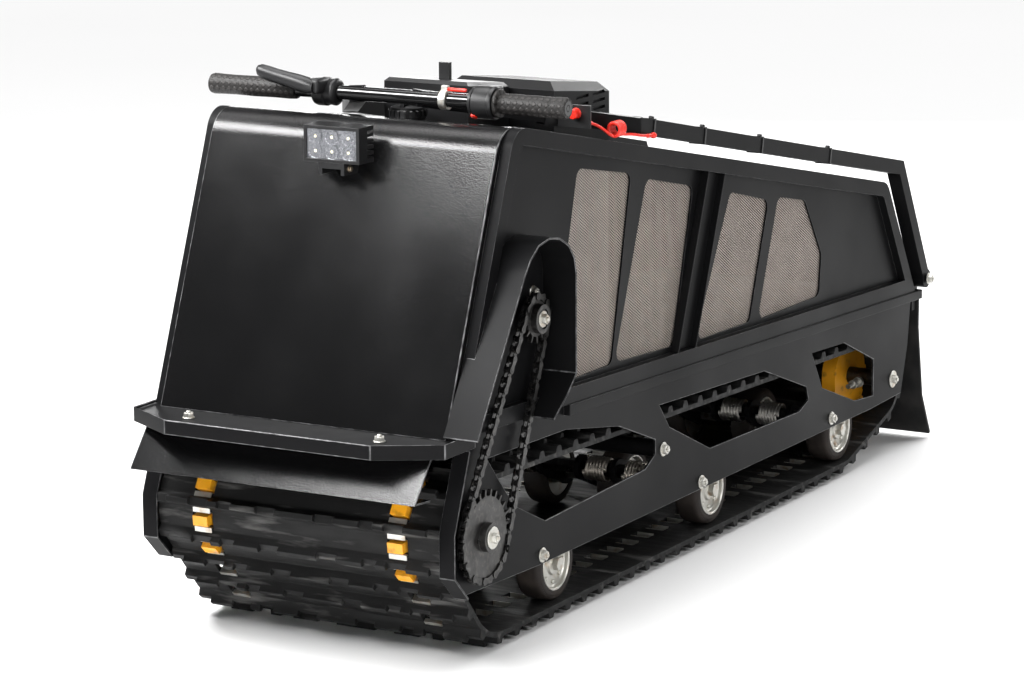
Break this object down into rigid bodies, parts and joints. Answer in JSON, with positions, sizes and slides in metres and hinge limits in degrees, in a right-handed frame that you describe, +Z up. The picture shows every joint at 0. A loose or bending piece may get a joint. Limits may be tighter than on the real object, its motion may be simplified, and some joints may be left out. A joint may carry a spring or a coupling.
{
  "type": "tracked snow tug",
  "caption": "Walk-behind tracked snow tug: one wide rubber track, mesh-sided engine body, chain drive and a folding tiller with handlebar, for towing a sled.",
  "frame": {"origin": "on the ground under the middle of the vehicle's length and width", "axes": "+X forward, +Y to the vehicle's left, +Z up"},
  "size_m": [1.86, 0.624, 0.8429],
  "materials": {
    "amber_plastic": "amber moulded plastic",
    "cast_block": "plain casting",
    "cover_metal": "satin black heat paint",
    "dark_steel": "dark oiled steel",
    "engine_black": "black moulded plastic",
    "frame_black": "satin dark grey-black powder coat",
    "gloss_black": "gloss black paint",
    "grip_rubber": "dark brown-grey rubber",
    "lens": "clear lens",
    "mesh_metal": "expanded metal, tan grey",
    "panel_black": "black powder coat with a fine orange-peel grain",
    "red_plastic": "bright red plastic",
    "spring_steel": "bronze-tinted spring steel",
    "track_rubber": "matte black rubber with scuffs",
    "tyre_rubber": "brown-black rubber",
    "zinc": "bright zinc"
  },
  "bodies": {
    "chassis": {"air_filter_box": "engine_black", "body_side_left": "frame_black", "body_side_right": "frame_black", "chain_guard": "frame_black", "cross_tube": "frame_black", "deck_rails": "frame_black", "deck_rear": "frame_black", "drive_chain": "dark_steel", "drive_shaft": "dark_steel", "drive_sprockets": "amber_plastic", "engine_block": "cast_block", "floor_pan": "frame_black", "front_bumper": "panel_black", "front_visor": "panel_black", "fuel_cap": "engine_black", "fuel_tank": "gloss_black", "hitch_plate": "frame_black", "hood_front": "panel_black", "idler_shaft": "dark_steel", "idler_wheels": "amber_plastic", "lamp_body": "engine_black", "lamp_bracket": "engine_black", "lamp_lens": "lens", "mesh_left": "mesh_metal", "mesh_right": "mesh_metal", "mud_flap": "track_rubber", "muffler_shield": "cover_metal", "nose_guards": "frame_black", "output_shaft": "dark_steel", "pillars": "frame_black", "pivot_shafts": "dark_steel", "rear_wall": "frame_black", "roller_axles": "zinc", "roller_rims": "zinc", "roller_tyres": "tyre_rubber", "side_plate_left": "frame_black", "side_plate_right": "frame_black", "sill_rails": "frame_black", "sprocket_large": "dark_steel", "sprocket_small": "dark_steel", "tail_beam": "frame_black", "tiller_brackets": "frame_black", "torsion_springs": "spring_steel", "track": "track_rubber", "trailing_arms": "frame_black"},
    "tiller": {"bar_clamp": "zinc", "brake_lever": "engine_black", "grips": "grip_rubber", "handlebar": "gloss_black", "lanyard_coil": "red_plastic", "lanyard_lead": "red_plastic", "lanyard_tail": "red_plastic", "stop_switch": "red_plastic", "throttle_housing": "engine_black", "tiller_arm_left": "frame_black", "tiller_arm_right": "frame_black"}
  },
  "joints": [
    {"name": "tiller_fold", "type": "hinge", "parent": "chassis", "child": "tiller", "pos_m": [-0.855, 0, 0.308], "axis": [0, -1, 0], "range_deg": [0, 130]}
  ]
}
